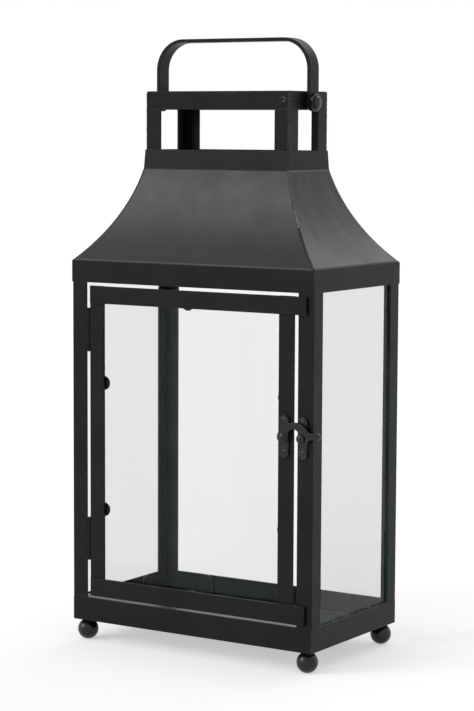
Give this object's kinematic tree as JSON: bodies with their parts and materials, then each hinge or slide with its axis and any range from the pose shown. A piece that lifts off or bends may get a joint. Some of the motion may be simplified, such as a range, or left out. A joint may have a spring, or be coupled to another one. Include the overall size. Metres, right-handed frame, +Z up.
{
  "type": "lantern floor lamp",
  "caption": "Candle lantern with a glazed box body, hinged front door with swing-hook clasp, swept hipped roof, vented chimney, ball feet and a swinging flat-bar handle.",
  "frame": {"origin": "on the floor under the centre of the lantern's box, midway between the four ball feet", "axes": "+Z up; the door looks towards -Y; +X to the right as the door is faced, the side of the clasp"},
  "size_m": [0.2079, 0.1244, 0.4315],
  "materials": {
    "black_paint": "satin black powder coat on sheet steel",
    "glass": "clear float glass, polished"
  },
  "bodies": {
    "lantern": {"ball_feet": "black_paint", "base_rail_back": "black_paint", "base_rail_front": "black_paint", "base_rail_left": "black_paint", "base_rail_right": "black_paint", "cap_plate": "black_paint", "chimney_collar": "black_paint", "chimney_post_back_left": "black_paint", "chimney_post_back_right": "black_paint", "chimney_post_front_left": "black_paint", "chimney_post_front_right": "black_paint", "corner_post_back_left": "black_paint", "corner_post_back_right": "black_paint", "corner_post_front_left": "black_paint", "corner_post_front_right": "black_paint", "eave_glass_clips": "black_paint", "eave_rail_back": "black_paint", "eave_rail_front": "black_paint", "eave_rail_left": "black_paint", "eave_rail_right": "black_paint", "floor_glass_clips": "black_paint", "floor_plate": "black_paint", "glass_back": "glass", "glass_left": "glass", "glass_right": "glass", "handle_rivets": "black_paint", "handle_spacers": "black_paint", "handle_washers": "black_paint", "keeper_pin": "black_paint", "keeper_plate": "black_paint", "keeper_plate_rivets": "black_paint", "lower_hinge_pin": "black_paint", "lower_hinge_post_leaf": "black_paint", "roof_panel_back": "black_paint", "roof_panel_front": "black_paint", "roof_panel_left": "black_paint", "roof_panel_right": "black_paint", "top_band": "black_paint", "upper_hinge_pin": "black_paint", "upper_hinge_post_leaf": "black_paint"},
    "door": {"door_bar_bottom": "black_paint", "door_bar_top": "black_paint", "door_glass_clips": "black_paint", "door_stile_left": "black_paint", "door_stile_right": "black_paint", "glass_door": "glass", "latch_pivot": "black_paint", "latch_plate": "black_paint", "latch_plate_rivets": "black_paint", "lower_hinge_door_leaf": "black_paint", "upper_hinge_door_leaf": "black_paint"},
    "latch_hook": {"latch_hook": "black_paint"},
    "handle": {"carrying_handle": "black_paint"}
  },
  "joints": [
    {"name": "door_hinge", "type": "hinge", "parent": "lantern", "child": "door", "pos_m": [-0.08635, -0.0583, 0], "axis": [0, 0, -1], "range_deg": [0, 118]},
    {"name": "hook_pivot", "type": "hinge", "parent": "door", "child": "latch_hook", "pos_m": [0.0782, -0.0621, 0.1622], "axis": [0, -1, 0], "range_deg": [0, 270]},
    {"name": "handle_pivot", "type": "hinge", "parent": "lantern", "child": "handle", "pos_m": [0, 0, 0.3867], "axis": [1, 0, 0], "range_deg": [-116, 116]}
  ]
}
